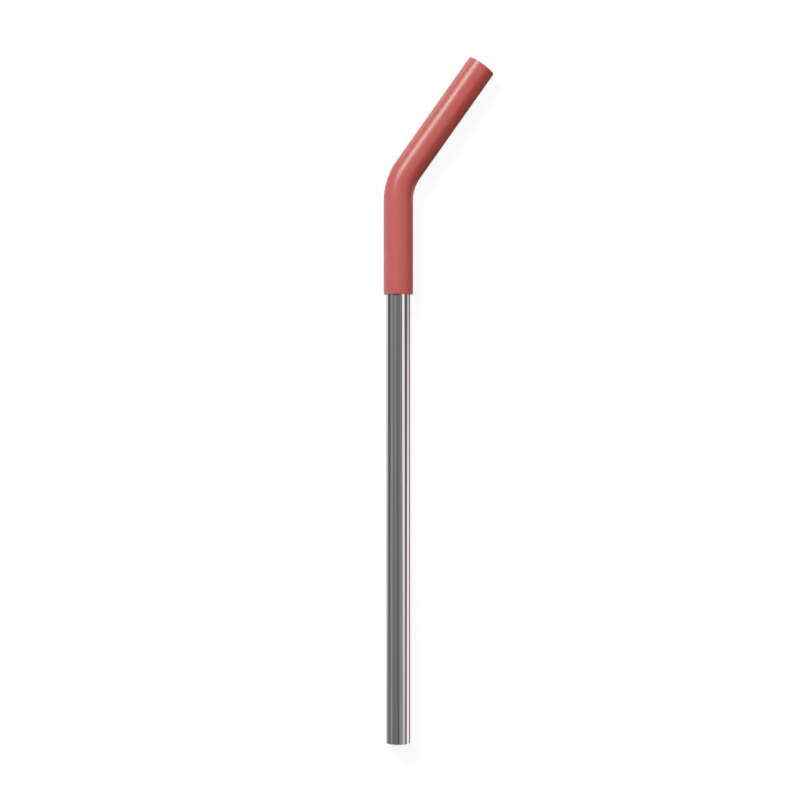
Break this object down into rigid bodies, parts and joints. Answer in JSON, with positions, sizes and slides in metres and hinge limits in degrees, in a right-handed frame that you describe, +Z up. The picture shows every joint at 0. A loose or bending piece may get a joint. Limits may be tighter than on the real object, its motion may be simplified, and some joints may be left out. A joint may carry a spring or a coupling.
{
  "type": "reusable metal drinking straw",
  "caption": "Straight steel drinking straw with a bent soft silicone mouthpiece pushed over one end, lying on its side.",
  "frame": {"origin": "centre of the straw's footprint, on the surface that it lies on", "axes": "+Y along the straw towards the mouthpiece, +X to the side that the arm bends to, +Z up"},
  "size_m": [0.0374, 0.2334, 0.0102],
  "materials": {
    "polished_steel": "polished",
    "silicone": "satin"
  },
  "bodies": {
    "tube": {"steel_tube": "polished_steel"},
    "tip": {"silicone_tip": "silicone"}
  },
  "joints": [
    {"name": "tip_pull_off", "type": "slide", "parent": "tube", "child": "tip", "axis": [0, 1, 0.0065], "range_m": [0, 0.035]}
  ]
}
